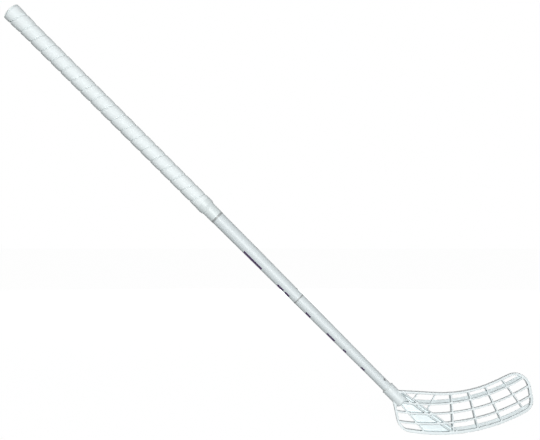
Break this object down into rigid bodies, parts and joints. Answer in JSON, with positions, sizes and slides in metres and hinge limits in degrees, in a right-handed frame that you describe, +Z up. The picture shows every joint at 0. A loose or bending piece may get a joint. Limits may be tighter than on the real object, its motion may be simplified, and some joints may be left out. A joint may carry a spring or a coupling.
{
  "type": "floorball stick",
  "caption": "Floorball stick: tapered composite shaft, wound tape grip with an end cap, and a hooked open-lattice plastic blade whose collar is glued and screwed to the shaft.",
  "frame": {"origin": "the point on the floor where the line of the shaft meets it, just behind the lowest point of the blade's sole", "axes": "+Z up in the playing position, with the shaft leaning at 45 degrees; +X from the heel of the blade to its toe; +Y to the side the toe hooks to, away from the viewer of the picture"},
  "size_m": [0.9281, 0.0399, 0.7519],
  "materials": {
    "shaft_lacquer": "clear gloss over white",
    "cap_plastic": "matte moulded",
    "grip_tape": "matte, slightly tacky",
    "finish_tape": "satin",
    "trim_grey": "printed band",
    "blade_plastic": "satin moulded",
    "screw_steel": "grey phosphate",
    "hot_melt": "milky"
  },
  "bodies": {
    "root": {"shaft_tube": "shaft_lacquer", "butt_cap": "cap_plastic", "grip_wrap": "grip_tape", "grip_finish_tape": "finish_tape", "upper_trim_ring": "trim_grey", "lower_trim_ring": "trim_grey", "blade": "blade_plastic", "blade_screws": "screw_steel", "hot_melt_sleeve": "hot_melt"}
  },
  "joints": []
}
